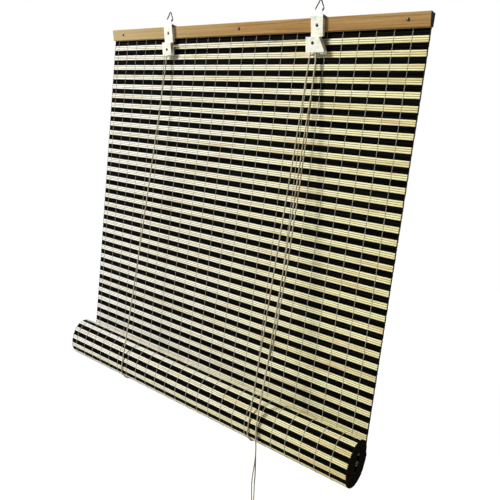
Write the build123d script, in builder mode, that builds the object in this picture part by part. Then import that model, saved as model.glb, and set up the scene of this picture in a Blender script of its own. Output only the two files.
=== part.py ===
# A bamboo roll up blind, half rolled up, 600 mm wide.
#
# Frame: +X to the right, +Y back to the wall, +Z up. The origin is on the line through the eyes
# of the two hanging rings, at the middle of the mat's width. All sizes are in millimetres.

import os
from math import atan2, cos, degrees, hypot, pi, radians, sin, sqrt, tan

from build123d import *

os.makedirs("parts", exist_ok=True)

# Woven mat
mat_width = 600.0
mat_setback = 10.0          # from the plane of the rings back to the mat's front
splint_pitch = 2.8
rolled_pitch = 2.62         # the splints lie closer together round the roll
splint_thickness = 2.0
splint_crest = 2.0          # flat crest of each splint, the rest is the groove beside it
splint_groove = 0.5         # depth of the groove on each side
splints_in_head = 6         # splints gripped behind the headrail
splints_hanging = 198       # splints from the headrail down to the roll
rail_to_mat_drop = 0.4      # the gripped splints end this far below the headrail

# Warp threads that hold the splints
thread_count = 24
first_thread_inset = 11.3   # from the mat's left end
last_thread_inset = 22.9    # from its right end
thread_width = 1.2
thread_height = 0.4
thread_roll_clearance = 9.0

# Roll and its batten
whole_turns = 8             # and half a turn more, to the flat side that the batten lies against
layer_pitch = 2.4           # one turn lies this far outside the next
core_half_depth = 4.0
core_half_height = 12.25
roll_tilt = 11.0            # the top of the oval leans back by this angle
roll_spread = 2.5           # the turns wander past the mat's edges by this much
turn_steps = 24
batten_width = 15.0
batten_thickness = 4.0
batten_lap = 4.4            # the batten reaches this far below the middle of the core
batten_edge_radius = 1.0
batten_clearance = 0.02

# Headrail and the slat behind the mat
rail_length = mat_width     # flush with the mat at both ends
rail_height = 17.5
rail_top_depth = 8.0
rail_bottom_depth = 4.0
rail_edge_radius = 1.0
slat_thickness = 3.0
slat_height = 17.0
slat_edge_radius = 0.8

# Nails through the headrail
nail_end_inset = 28.5
nail_height = 9.0
nail_shank_radius = 0.9
nail_head_radius = 2.4
nail_head_height = 1.3
nail_length = 10.0

# Hanging rings
eye_to_bar = 9.6            # from the eye's centre down to the ring's bottom bar
bar_above_rail = 9.0
ring_wire_radius = 0.9
ring_half_width = 6.4
ring_shoulder = 2.4
ring_height = 14.6
ring_corner_radius = 1.3
ring_shoulder_radius = 1.6
ring_apex_radius = 1.5
ring_wire_gap = 0.3
eye_clearance = 0.1         # between the wire and the rolled eye, all round

# Folded sheet brackets
left_bracket_x = -150.0
right_bracket_x = 142.0
sheet = 0.9
bend_radius = 1.6
strap_width = 19.0
strap_standoff = 3.7        # depth of the strap's side flanges
strap_rise = 3.0            # the strap's top corner above the headrail
strap_drop = 6.6            # from the headrail's underside down to the housing
hook_length = 6.5
fold_clearance = 0.2
tab_width = 9.6
tab_offset = 1.5

# Pulley housings
housing_gap = 5.2
housing_height = 20.0
left_cheek_half = 10.0
lock_cheek_left = 14.0
lock_cheek_right = 7.1
lock_cheek_foot = 16.5
back_cheek_extra = 2.6
cheek_corner_radius = 1.5

# Pulleys, their pins and the lock roller
pulley_width = 4.8
pulley_rim_radius = 5.1
pulley_rim = 0.4
pulley_flank = 0.1          # the groove's sides widen by this much
pulley_groove_radius = 3.3
pulley_bore_clearance = 0.05
pin_radius = 1.3
pin_head_radius = 2.4
pin_head_height = 1.0
pin_tail_radius = 2.1
pin_tail_height = 0.5
left_pin_x = 0.5
left_pin_share = 0.545      # share of the housing's height from its top down to the pin
right_pin_x = -2.9
right_pin_share = 0.39
roller_radius = 3.0
roller_side_clearance = 0.2
roller_clearance = 0.3
roller_rest_share = 0.81    # share of the sloping wall from its top down to the roller's rest
roller_grooves = 16
roller_groove_depth = 0.3
cradle_sweep = 150.0

# Screws that hold the brackets
screw_height = 8.0
screw_shank_radius = 1.3
screw_head_radius = 2.3
screw_head_height = 1.4
screw_grip = 4.0

# Cords
cord_radius = 0.9
staple_height = 5.0
staple_wire_radius = 0.5
staple_bite = 2.2
staple_clearance = 0.05
knot_radius = 2.0
knot_rise = 1.4             # the knot's middle above the end of its cord
knot_clearance = 0.05       # between a pull cord's end knot and its coil
cord_top_drop = 9.8         # the lift cords end this far below the headrail's top
cord_clearance = 0.05       # to the groove of a pulley
lane_gap = 0.03             # beside the middle of a pulley that two cords share
pulley_corners = 2          # corners of each lift cord's route that go round its pulleys
arc_share = 0.45            # share of the shorter run that an arc takes
coil_mean_radius = 14.0
coil_layers = 4
coil_turns_across = 5

# Worked out levels and depths
rail_top_z = -(eye_to_bar + bar_above_rail)
rail_bottom_z = rail_top_z - rail_height
mat_front_y = mat_setback
mat_back_y = mat_front_y + splint_thickness
thread_spacing = (mat_width - first_thread_inset - last_thread_inset) / (thread_count - 1)
bands_top_z = rail_bottom_z - rail_to_mat_drop
roll_start_z = bands_top_z - splints_hanging * splint_pitch
slat_back_y = mat_back_y + slat_thickness
rail_lean = atan2(rail_top_depth - rail_bottom_depth, rail_height)

# The headrail's front face leans out to the room, and the brackets lean with it. On this plane
# x is along the rail and y is up the face, from the rail's bottom edge.
out_of_face = (0, -cos(rail_lean), -sin(rail_lean))
rail_face = Plane(
    origin=(0, mat_front_y - rail_bottom_depth, rail_bottom_z), x_dir=(1, 0, 0), z_dir=out_of_face
)
strap_back = rail_face.offset(strap_standoff)
strap_front = rail_face.offset(strap_standoff + sheet)
housing_middle = rail_face.offset(strap_standoff + sheet + housing_gap / 2)
cheek_back = rail_face.offset(strap_standoff + sheet + housing_gap)
cheek_front = rail_face.offset(strap_standoff + sheet + housing_gap + sheet)

strap_top = (rail_height + strap_rise) / cos(rail_lean)
housing_top = -strap_drop
housing_bottom = housing_top - housing_height
left_pin = (left_bracket_x + left_pin_x, housing_top - left_pin_share * housing_height)
right_pin = (right_bracket_x + right_pin_x, housing_top - right_pin_share * housing_height)

# The cords run down beside their pulleys at these places along the rail
cord_line = pulley_groove_radius + cord_radius + cord_clearance
left_run_x = left_pin[0] - cord_line
right_run_x = right_pin[0] - cord_line
fall_x = right_pin[0] + cord_line


def save(part, name):
    """Name a finished piece and write its file."""
    part.label = name
    export_step(part, f"parts/{name}.step")
    print(name, round(part.volume, 1))


def holes_along(plane, spots, radius, depth):
    """Drill round holes from a plane into the part that is being built."""
    with BuildSketch(plane) as holes:
        with Locations(*spots):
            Circle(radius)
    extrude(holes.sketch, amount=-depth, mode=Mode.SUBTRACT)


nail_reach = rail_length / 2 - nail_end_inset
nail_spots = [(x, nail_height) for x in (-nail_reach, 0, nail_reach)]
screw_spots = [(x, screw_height) for x in (left_bracket_x, right_bracket_x)]


# The mat that hangs from the headrail: one wall with a ridge for every splint
def wall_side(crest_y, groove_y):
    """Points down one face of the wall, with a groove between every two splints."""
    crest_inset = (splint_pitch - splint_crest) / 2
    top = bands_top_z + splints_in_head * splint_pitch
    points = [(groove_y, top)]
    for count in range(splints_in_head + splints_hanging):
        upper = top - count * splint_pitch
        lower = upper - splint_pitch
        points += [(crest_y, upper - crest_inset), (crest_y, lower + crest_inset), (groove_y, lower)]
    return points


with BuildPart() as mat_hanging:
    with BuildSketch(Plane.YZ.offset(-mat_width / 2)):
        with BuildLine():
            front = wall_side(mat_front_y, mat_front_y + splint_groove)
            back = wall_side(mat_back_y, mat_back_y - splint_groove)
            Polyline(*front, *reversed(back), close=True)
        make_face()
    extrude(amount=mat_width)
    holes_along(rail_face, nail_spots, nail_shank_radius, nail_length + nail_head_height)
save(mat_hanging.part, "mat_hanging")


# The rolled part of the mat: one long wall wound inwards, turn inside turn, to the batten
tilt = radians(roll_tilt)
flat_side = (180 + roll_tilt) / 360
roll_turns = whole_turns + flat_side + 0.5 / turn_steps


def in_roll(depth, height):
    """Turn a point of the upright oval by the roll's tilt."""
    return depth * cos(tilt) + height * sin(tilt), height * cos(tilt) - depth * sin(tilt)


def winding(turn, inset):
    """A point of the wall after some turns from the outside inwards, under its outer face."""
    facing = tilt - 2 * pi * turn
    reach = hypot(core_half_depth * cos(facing), core_half_height * sin(facing))
    layers = layer_pitch * (roll_turns - turn) + splint_thickness - inset
    depth = core_half_depth ** 2 * cos(facing) / reach + layers * cos(facing)
    height = core_half_height ** 2 * sin(facing) / reach + layers * sin(facing)
    return in_roll(depth, height)


start_y, start_z = winding(0, 0)
roll_y = mat_back_y - start_y
roll_z = roll_start_z - start_z


def roll_point(turn, inset):
    """The same point at the roll's place."""
    y, z = winding(turn, inset)
    return roll_y + y, roll_z + z


def turn_after(turn, length):
    """The turn reached by going a short length along the winding."""
    step = 0.001
    y0, z0 = winding(turn, 0)
    y1, z1 = winding(turn + step, 0)
    return turn + length * step / hypot(y1 - y0, z1 - z0)


rolled_crest = splint_crest * rolled_pitch / splint_pitch
outer = [roll_point(0, splint_groove)]
turn = 0.0
while turn_after(turn, rolled_pitch) < 1:
    crest_from = turn_after(turn, (rolled_pitch - rolled_crest) / 2)
    crest_to = turn_after(crest_from, rolled_crest)
    turn = turn_after(turn, rolled_pitch)
    outer += [roll_point(crest_from, 0), roll_point(crest_to, 0), roll_point(turn, splint_groove)]
smooth_turns = [roll_turns - step / turn_steps for step in range(int(roll_turns * turn_steps), -1, -1)]
outer += [roll_point(smooth, 0) for smooth in smooth_turns if smooth > turn]
inner = [roll_point(0, splint_thickness - splint_groove)]
inner += [roll_point(smooth, splint_thickness) for smooth in smooth_turns if smooth > 0]

roll_length = mat_width + 2 * roll_spread
with BuildPart() as mat_roll:
    with BuildSketch(Plane.YZ.offset(-roll_length / 2)):
        with BuildLine():
            Polyline(*outer, *reversed(inner), close=True)
        make_face()
    extrude(amount=roll_length)
save(mat_roll.part, "mat_roll")

# Bottom batten: lies in the core of the roll, against the flat side of the last turn
facet = pi / turn_steps
facet_depth = core_half_depth ** 2 * cos(facet) / hypot(
    core_half_depth * cos(facet), core_half_height * sin(facet)
)
batten_y, batten_z = in_roll(
    batten_clearance + batten_thickness / 2 - facet_depth, batten_width / 2 - batten_lap
)
with BuildPart() as bottom_batten:
    with BuildSketch(Plane.YZ.offset(-mat_width / 2)):
        with Locations((roll_y + batten_y, roll_z + batten_z)):
            Rectangle(batten_thickness, batten_width, rotation=-roll_tilt)
    extrude(amount=mat_width)
    fillet(bottom_batten.edges().filter_by(Axis.X), batten_edge_radius)
save(bottom_batten.part, "bottom_batten")


# Warp threads: they run down both faces of the mat and bind every splint
thread_middle = (first_thread_inset - last_thread_inset) / 2
with BuildPart() as warp_threads:
    front_run = (rail_bottom_z - thread_height, roll_start_z + thread_roll_clearance)
    back_run = (rail_top_z - slat_height - thread_height, roll_start_z)
    for plane, side, (thread_top, thread_bottom) in (
        (Plane.XZ.offset(-mat_front_y), 1, front_run),
        (Plane.XZ.offset(-mat_back_y), -1, back_run),
    ):
        with BuildSketch(plane):
            with Locations((thread_middle, (thread_top + thread_bottom) / 2)):
                with GridLocations(thread_spacing, 1, thread_count, 1):
                    Rectangle(thread_width, thread_top - thread_bottom)
        extrude(amount=side * thread_height)
save(warp_threads.part, "warp_threads")


# Headrail: a bevelled batten in front of the mat's top
with BuildPart() as headrail:
    with BuildSketch(Plane.YZ.offset(-rail_length / 2)):
        with BuildLine():
            Polyline(
                (mat_front_y, rail_bottom_z),
                (mat_front_y, rail_top_z),
                (mat_front_y - rail_top_depth, rail_top_z),
                (mat_front_y - rail_bottom_depth, rail_bottom_z),
                close=True,
            )
        make_face()
    extrude(amount=rail_length)
    front_edges = headrail.edges().filter_by(Axis.X).sort_by(Axis.Y)[:2]
    fillet(front_edges, rail_edge_radius)
    holes_along(rail_face, nail_spots, nail_shank_radius, rail_top_depth + rail_height)
    holes_along(rail_face, screw_spots, screw_shank_radius, screw_grip)
save(headrail.part, "headrail")

# Back slat: clamps the mat's top against the headrail
staple_half = cord_radius + staple_clearance + staple_wire_radius
staple_z = rail_bottom_z + staple_height
leg_spots = [(x + side * staple_half, staple_z) for x in (left_run_x, right_run_x) for side in (-1, 1)]
slat_back = Plane.XZ.offset(-slat_back_y)

with BuildPart() as back_slat:
    with BuildSketch(Plane.XZ.offset(-slat_back_y)):
        with Locations((0, rail_top_z - slat_height / 2)):
            Rectangle(rail_length, slat_height)
    extrude(amount=slat_thickness)
    rear_edges = back_slat.edges().filter_by(Axis.X).group_by(Axis.Y)[-1]
    fillet(rear_edges, slat_edge_radius)
    holes_along(rail_face, nail_spots, nail_shank_radius, nail_length)
    with BuildSketch(slat_back):
        with Locations(*leg_spots):
            Circle(staple_wire_radius)
    extrude(amount=staple_bite, mode=Mode.SUBTRACT)
save(back_slat.part, "back_slat")


# Nails: domed heads on the headrail's face, shanks through the mat into the back slat
def headed_fastener(plane, spots, shank_radius, shank_length, head_radius, head_height):
    """Round shank into a plane with a domed head on it, at each spot."""
    with BuildPart() as fastener:
        for x, y in spots:
            seat = Plane(origin=plane.from_local_coords((x, y, 0)), x_dir=plane.x_dir, z_dir=plane.z_dir)
            side = Plane(origin=seat.origin, x_dir=seat.x_dir, z_dir=-seat.y_dir)
            dome_radius = (head_radius ** 2 + head_height ** 2) / (2 * head_height)
            middle = head_radius / 2
            dome_height = sqrt(dome_radius ** 2 - middle ** 2) - (dome_radius - head_height)
            with BuildSketch(side):
                with BuildLine():
                    Polyline((0, head_height), (0, -shank_length), (shank_radius, -shank_length))
                    Polyline((shank_radius, -shank_length), (shank_radius, 0), (head_radius, 0))
                    ThreePointArc((head_radius, 0), (middle, dome_height), (0, head_height))
                make_face()
            revolve(axis=Axis(seat.origin, seat.z_dir))
    return fastener.part


save(
    headed_fastener(
        rail_face, nail_spots, nail_shank_radius, nail_length, nail_head_radius, nail_head_height
    ),
    "rail_nails",
)


# Brackets: a strap folded over the headrail, a rolled eye for the ring and a pulley housing
eye_radius = ring_wire_radius + eye_clearance
bar_z = -eye_to_bar


def on_section(plane, up, depth=0.0):
    """The (y, z) place of a point up a leaning plane."""
    point = plane.from_local_coords((0, up, depth))
    return point.Y, point.Z


def folded_strap(bracket_x):
    """Front strap with its side flanges, the fold over the headrail and the hook behind it."""
    hook_y = slat_back_y + fold_clearance
    ridge_z = rail_top_z + fold_clearance
    with BuildSketch(Plane.YZ.offset(bracket_x - strap_width / 2)) as fold:
        with BuildLine():
            FilletPolyline(
                on_section(strap_back, housing_top),
                on_section(strap_back, strap_top),
                (hook_y, ridge_z),
                (hook_y, ridge_z - hook_length),
                radius=bend_radius / 2,
            )
            offset(amount=sheet, side=Side.LEFT)
        make_face()
    extrude(fold.sketch, amount=strap_width)
    flange_height = rail_height / cos(rail_lean) - housing_top - 1
    with BuildSketch(strap_back) as flanges:
        with Locations((bracket_x, housing_top + flange_height / 2)):
            with GridLocations(strap_width - sheet, 1, 2, 1):
                Rectangle(sheet, flange_height)
    extrude(flanges.sketch, amount=-strap_standoff)


def rolled_eye(bracket_x):
    """Tab lanced up from the fold and rolled round the ring's bottom bar."""
    tab_start = bracket_x + tab_offset - tab_width / 2
    _, fold_z = on_section(strap_back, strap_top)
    with BuildSketch(Plane.YZ.offset(tab_start)) as tab:
        with Locations((0, bar_z)):
            Circle(eye_radius + sheet)
        with Locations((-eye_radius - sheet / 2, (bar_z + fold_z - sheet) / 2)):
            Rectangle(sheet, bar_z - fold_z + sheet)
        with Locations((0, bar_z)):
            Circle(eye_radius, mode=Mode.SUBTRACT)
    extrude(tab.sketch, amount=tab_width)


def cheeks(front_outline, back_outline, bracket_x):
    """Back cheek below the strap and front cheek hung from the ledge."""
    for plane, outline in ((strap_back, back_outline), (cheek_back, front_outline)):
        with BuildSketch(plane) as cheek:
            with BuildLine():
                Polyline(*[(bracket_x + x, y) for x, y in outline], close=True)
            make_face()
            fillet(cheek.vertices().group_by(Axis.Y)[0], cheek_corner_radius)
        extrude(cheek.sketch, amount=sheet)


def ledge(left, right, bracket_x):
    """Top of the housing, from the strap out to the front cheek."""
    with BuildSketch(strap_back) as top:
        with Locations((bracket_x + (right - left) / 2, housing_top - sheet / 2)):
            Rectangle(left + right, sheet)
    extrude(top.sketch, amount=housing_gap + 2 * sheet)


def pin_hole(spot):
    """Hole for the pulley's pin through both cheeks."""
    holes_along(cheek_front, [spot], pin_radius, housing_gap + 3 * sheet)


left_outline = [
    (-left_cheek_half, housing_top),
    (left_cheek_half, housing_top),
    (left_cheek_half, housing_bottom),
    (-left_cheek_half, housing_bottom),
]
with BuildPart() as bracket_left:
    folded_strap(left_bracket_x)
    rolled_eye(left_bracket_x)
    cheeks(left_outline, left_outline, left_bracket_x)
    ledge(left_cheek_half, left_cheek_half, left_bracket_x)
    pin_hole(left_pin)
    holes_along(strap_front, [screw_spots[0]], screw_shank_radius, 2 * sheet)
save(bracket_left.part, "bracket_left")

# The lock housing's right wall slopes, so that the roller wedges the cords as it rides up it
slope_run = lock_cheek_foot - lock_cheek_right
slope_length = hypot(slope_run, housing_height)
down_slope = Vector(slope_run / slope_length, -housing_height / slope_length)
into_housing = Vector(-housing_height / slope_length, -slope_run / slope_length)
slope_top = Vector(right_bracket_x + lock_cheek_right, housing_top)
cradle_radius = roller_radius + roller_clearance
roller_rest = roller_rest_share * slope_length
roller_line = slope_top + into_housing * (sheet + cradle_radius)
roller_spot = roller_line + down_slope * roller_rest
wall_angle = degrees(atan2(-into_housing.Y, -into_housing.X))

lock_outline = [
    (-lock_cheek_left, housing_top),
    (lock_cheek_right, housing_top),
    (lock_cheek_foot, housing_bottom),
    (-lock_cheek_left, housing_bottom),
]
lock_back_outline = [
    (-lock_cheek_left, housing_top),
    (lock_cheek_right, housing_top),
    (lock_cheek_foot, housing_bottom),
    (lock_cheek_foot - sheet, housing_bottom - back_cheek_extra),
    (-lock_cheek_left, housing_bottom - back_cheek_extra),
]
with BuildPart() as lock_bracket:
    folded_strap(right_bracket_x)
    rolled_eye(right_bracket_x)
    cheeks(lock_outline, lock_back_outline, right_bracket_x)
    ledge(lock_cheek_left, lock_cheek_right, right_bracket_x)
    with BuildSketch(strap_front):
        wall_end = slope_top + down_slope * roller_rest
        inner_end = wall_end + into_housing * sheet
        with BuildLine():
            Polyline(
                (slope_top.X, slope_top.Y),
                (wall_end.X, wall_end.Y),
                (inner_end.X, inner_end.Y),
                ((slope_top + into_housing * sheet).X, (slope_top + into_housing * sheet).Y),
                close=True,
            )
        make_face()
        with BuildLine():
            centre = (roller_spot.X, roller_spot.Y)
            wide = CenterArc(centre, cradle_radius + sheet, wall_angle, -cradle_sweep)
            tight = CenterArc(centre, cradle_radius, wall_angle, -cradle_sweep)
            Line(wide @ 0, tight @ 0)
            Line(wide @ 1, tight @ 1)
        make_face()
    extrude(amount=housing_gap)
    pin_hole(right_pin)
    holes_along(strap_front, [screw_spots[1]], screw_shank_radius, 2 * sheet)
save(lock_bracket.part, "lock_bracket")

save(
    headed_fastener(
        strap_front, screw_spots, screw_shank_radius, strap_standoff + sheet + screw_grip,
        screw_head_radius, screw_head_height,
    ),
    "bracket_screws",
)


# Hanging rings: a wire bent to a triangle, its ends meeting inside the rolled eye
def hanging_ring(bracket_x):
    """Wire ring round the eye of the bracket at this place."""
    middle = bracket_x + tab_offset
    with BuildPart() as ring:
        with BuildLine(Plane.XZ) as wire:
            FilletPolyline(
                (middle + ring_wire_gap / 2, bar_z),
                (middle + ring_half_width, bar_z),
                (middle + ring_half_width, bar_z + ring_shoulder),
                (middle, bar_z + ring_height),
                (middle - ring_half_width, bar_z + ring_shoulder),
                (middle - ring_half_width, bar_z),
                (middle - ring_wire_gap / 2, bar_z),
                radius=[
                    ring_corner_radius,
                    ring_shoulder_radius,
                    ring_apex_radius,
                    ring_shoulder_radius,
                    ring_corner_radius,
                ],
            )
        with BuildSketch(Plane(origin=wire.line @ 0, z_dir=wire.line % 0)):
            Circle(ring_wire_radius)
        sweep()
    return ring.part


save(hanging_ring(left_bracket_x), "hanging_ring_left")
save(hanging_ring(right_bracket_x), "hanging_ring_right")


# Pulleys and the pins that they turn on
def pulley(spot):
    """Grooved wheel in the middle of its housing."""
    centre = housing_middle.from_local_coords((spot[0], spot[1], 0))
    side = Plane(origin=centre, x_dir=housing_middle.x_dir, z_dir=-housing_middle.y_dir)
    bore = pin_radius + pulley_bore_clearance
    half = pulley_width / 2
    with BuildPart() as wheel:
        with BuildSketch(side):
            with BuildLine():
                Polyline(
                    (bore, -half),
                    (pulley_rim_radius, -half),
                    (pulley_rim_radius, pulley_rim - half),
                    (pulley_groove_radius, pulley_rim + pulley_flank - half),
                    (pulley_groove_radius, half - pulley_rim - pulley_flank),
                    (pulley_rim_radius, half - pulley_rim),
                    (pulley_rim_radius, half),
                    (bore, half),
                    close=True,
                )
            make_face()
        revolve(axis=Axis(centre, housing_middle.z_dir))
    return wheel.part


def pulley_pin(spot):
    """Rivet through both cheeks, domed in front and flat behind."""
    length = housing_gap + 2 * sheet
    with BuildPart() as pin:
        add(headed_fastener(cheek_front, [spot], pin_radius, length, pin_head_radius, pin_head_height))
        with BuildSketch(strap_back):
            with Locations(spot):
                Circle(pin_tail_radius)
        extrude(amount=-pin_tail_height)
    return pin.part


save(pulley(left_pin), "pulley_left")
save(pulley(right_pin), "pulley_right")
save(pulley_pin(left_pin), "pulley_pin_left")
save(pulley_pin(right_pin), "pulley_pin_right")

# Lock roller: rests in the cradle and rides up the sloping wall to grip the cords
with BuildPart() as lock_roller:
    with BuildSketch(strap_front.offset(roller_side_clearance)):
        with Locations((roller_spot.X, roller_spot.Y)):
            Circle(roller_radius)
            with PolarLocations(roller_radius, roller_grooves):
                RegularPolygon(roller_groove_depth, 3, rotation=180, mode=Mode.SUBTRACT)
    extrude(amount=housing_gap - 2 * roller_side_clearance)
save(lock_roller.part, "lock_roller")

# Staples that hold the tops of the lift cords to the back slat
with BuildPart() as cord_staples:
    crown_y = slat_back_y + 2 * cord_radius + staple_clearance + staple_wire_radius
    for x in (left_run_x, right_run_x):
        with BuildLine() as bent_wire:
            FilletPolyline(
                (x - staple_half, slat_back_y - staple_bite, staple_z),
                (x - staple_half, crown_y, staple_z),
                (x + staple_half, crown_y, staple_z),
                (x + staple_half, slat_back_y - staple_bite, staple_z),
                radius=staple_wire_radius * 1.2,
            )
        with BuildSketch(Plane(origin=bent_wire.line @ 0, z_dir=bent_wire.line % 0)):
            Circle(staple_wire_radius)
        sweep()
save(cord_staples.part, "cord_staples")


# Knots above the staples
cord_top_z = rail_top_z - cord_top_drop


def anchor_knot(x):
    """Knot that stops a lift cord at its staple, flat where the cord comes out."""
    centre_y = slat_back_y + knot_radius + staple_clearance
    with BuildPart() as knot:
        with Locations((x, centre_y, cord_top_z + knot_rise)):
            Sphere(knot_radius)
        split(bisect_by=Plane.XY.offset(cord_top_z), keep=Keep.TOP)
    return knot.part


save(anchor_knot(left_run_x), "anchor_knot_left")
save(anchor_knot(right_run_x), "anchor_knot_right")


# Cords. Each route is straight runs joined by arcs, each as wide as its runs allow, except where
# the cord goes round a pulley. The lift cords go down behind the mat, under the roll and up its
# front to the pulleys. The pull cords hang from the lock, over the front of the roll.
def in_housing(x, up, lane=0.0):
    """Point of a route inside a housing: its height on the housing and its depth from the middle."""
    y, z = on_section(housing_middle, up, lane)
    return x, y, z


def on_way(x, proud, share):
    """Point in front of the mat, a share of the way from the headrail down to the roll's middle."""
    return x, mat_front_y - proud, rail_bottom_z + share * (roll_z - rail_bottom_z)


def round_roll(x, back, up):
    """Point measured from the middle of the roll."""
    return x, roll_y + back, roll_z + up


front_lane = cord_radius + lane_gap
back_lane = -front_lane
behind_slat_y = slat_back_y + cord_radius + staple_clearance

lift_route_left = [
    (left_run_x, behind_slat_y, cord_top_z),
    round_roll(left_run_x + 0.4, 28.0, -11.8),
    round_roll(left_run_x + 0.8, 14.0, -31.1),
    round_roll(left_run_x + 1.2, -1.7, -36.2),
    round_roll(left_run_x + 1.8, -16.7, -31.4),
    round_roll(left_run_x + 2.2, -27.9, -15.9),
    round_roll(left_run_x + 2.6, -23.6, 34.4),
    on_way(left_run_x + 3.9, 42.0, 0.798),
    on_way(left_run_x + 2.8, 10.5, 0.137),
    in_housing(left_run_x, left_pin[1] - 3.5, -0.5),
    in_housing(left_run_x, left_pin[1] + cord_line, -0.32),
    in_housing(fall_x, right_pin[1] + cord_line, front_lane),
    in_housing(fall_x, right_pin[1] - 5.6, front_lane),
]
lift_route_right = [
    (right_run_x, behind_slat_y, cord_top_z),
    round_roll(right_run_x + 0.5, 28.0, -11.8),
    round_roll(right_run_x + 1.0, 14.0, -31.1),
    round_roll(right_run_x + 1.5, -1.7, -36.2),
    round_roll(right_run_x + 2.1, -16.7, -31.4),
    round_roll(right_run_x + 2.7, -27.9, -15.9),
    round_roll(right_run_x + 2.8, -23.7, 33.4),
    on_way(right_run_x + 1.6, 29.9, 0.542),
    on_way(right_run_x + 1.1, 14.6, 0.223),
    on_way(right_run_x - 0.4, 7.8, 0.078),
    in_housing(right_run_x, right_pin[1] - 5.1, back_lane),
    in_housing(right_run_x, right_pin[1] + cord_line, back_lane),
    in_housing(fall_x, right_pin[1] + cord_line, back_lane),
    in_housing(fall_x, right_pin[1] - 5.6, back_lane),
]
pull_route_left = [
    in_housing(fall_x, right_pin[1] - 5.6, front_lane),
    in_housing(fall_x, right_pin[1] - 10.6, front_lane),
    on_way(fall_x + 0.8, 6.5, 0.058),
    on_way(fall_x + 1.8, 7.4, 0.071),
    on_way(fall_x + 3.1, 8.8, 0.100),
    on_way(fall_x + 4.8, 11.2, 0.146),
    on_way(fall_x + 4.8, 14.8, 0.216),
    on_way(fall_x + 5.6, 18.7, 0.291),
    on_way(fall_x + 6.8, 22.3, 0.362),
    on_way(fall_x + 7.7, 25.4, 0.425),
    on_way(fall_x + 7.6, 28.4, 0.482),
    on_way(fall_x + 9.7, 32.3, 0.558),
    on_way(fall_x + 10.2, 35.6, 0.623),
    on_way(fall_x + 10.6, 41.1, 0.730),
    round_roll(fall_x + 11.6, -21.4, 91.4),
    round_roll(fall_x + 10.2, -26.2, 39.4),
    round_roll(fall_x + 10.1, -29.3, 2.4),
    round_roll(fall_x + 11.6, -29.5, -11.6),
    round_roll(fall_x + 14.8, -29.4, -30.6),
    round_roll(fall_x + 15.8, -29.5, -45.6),
    round_roll(fall_x + 14.8, -29.5, -65.6),
    round_roll(fall_x + 14.6, -29.9, -81.6),
    round_roll(fall_x + 16.8, -32.3, -97.6),
    round_roll(fall_x + 18.2, -33.4, -109.6),
    round_roll(fall_x + 18.2, -33.4, -119.6),
]
pull_route_right = [
    in_housing(fall_x, right_pin[1] - 5.6, back_lane),
    in_housing(fall_x, right_pin[1] - 10.6, back_lane),
    on_way(fall_x + 0.2, 4.8, 0.057),
    on_way(fall_x + 0.6, 5.6, 0.071),
    on_way(fall_x + 1.6, 7.1, 0.100),
    on_way(fall_x + 3.2, 9.3, 0.146),
    on_way(fall_x + 7.1, 12.9, 0.216),
    on_way(fall_x + 8.8, 16.9, 0.291),
    on_way(fall_x + 10.3, 20.4, 0.362),
    on_way(fall_x + 11.6, 23.6, 0.423),
    on_way(fall_x + 11.8, 26.5, 0.480),
    on_way(fall_x + 14.1, 30.5, 0.555),
    on_way(fall_x + 13.8, 36.2, 0.669),
    on_way(fall_x + 14.2, 39.2, 0.728),
    on_way(fall_x + 13.1, 41.9, 0.785),
    round_roll(fall_x + 9.8, -19.6, 91.4),
    round_roll(fall_x + 8.5, -24.2, 39.4),
    round_roll(fall_x + 8.8, -27.4, 2.4),
    round_roll(fall_x + 10.7, -27.6, -15.6),
    round_roll(fall_x + 13.2, -27.5, -34.6),
    round_roll(fall_x + 15.6, -27.6, -51.6),
    round_roll(fall_x + 17.7, -27.5, -71.6),
    round_roll(fall_x + 19.0, -26.5, -86.6),
    round_roll(fall_x + 20.5, -24.6, -99.6),
    round_roll(fall_x + 21.2, -23.9, -110.6),
    round_roll(fall_x + 21.2, -23.9, -119.6),
]


def corner_radii(route, last_round_pulley):
    """Radius of the arc at every inner point of a route, of which the last few go round pulleys."""
    points = [Vector(point) for point in route]
    last = len(points) - 1
    radii = []
    for number in range(1, last):
        before = points[number] - points[number - 1]
        after = points[number + 1] - points[number]
        half_turn = radians(before.get_angle(after)) / 2
        if number >= last - last_round_pulley:
            radii.append(pulley_groove_radius + cord_radius)
        else:
            radii.append(arc_share * min(before.length, after.length) / tan(half_turn))
    return radii


def cord(route, name, last_round_pulley=0):
    """Round cord along a route."""
    radii = corner_radii(route, last_round_pulley)
    with BuildPart() as tube:
        with BuildLine() as path:
            FilletPolyline(*route, radius=radii)
        with BuildSketch(Plane(origin=path.line @ 0, z_dir=path.line % 0)):
            Circle(cord_radius)
        sweep()
    length = sum(edge.length for edge in path.edges())
    print(name, "radii", [round(radius, 1) for radius in radii])
    tube_volume = pi * cord_radius ** 2 * length
    print(name, "length", round(length, 1), "volume share", tube.part.volume / tube_volume)
    save(tube.part, name)


cord(lift_route_left, "lift_cord_left", pulley_corners)
cord(lift_route_right, "lift_cord_right", pulley_corners)
cord(pull_route_left, "pull_cord_left")
cord(pull_route_right, "pull_cord_right")


# Spare cord: what the view does not show of each pull cord, wound and tied below it
coil_height = coil_layers * 2 * cord_radius
coil_width = coil_turns_across * 2 * cord_radius


def cord_coil(route, name):
    """Closed ring of the outer shape of a cord's turns, hung from the end of its route."""
    x, y, z = route[-1]
    with BuildPart() as coil:
        with BuildSketch(Plane.YZ.offset(x)) as section:
            with Locations((y, z - coil_height / 2)):
                Rectangle(coil_width, coil_height)
            chamfer(section.vertices(), cord_radius)
        revolve(axis=Axis((x, y, z - coil_height / 2 - coil_mean_radius), (0, 1, 0)))
    save(coil.part, name)


def end_knot(route, name):
    """Knot at the loose end of a pull cord, at the front of the inside of its coil."""
    x, y, z = route[-1]
    knot_y = y - coil_width / 2 + knot_radius
    with BuildPart() as knot:
        with Locations((x, knot_y, z - 2 * coil_mean_radius + knot_radius + knot_clearance)):
            Sphere(knot_radius)
    save(knot.part, name)


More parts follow.
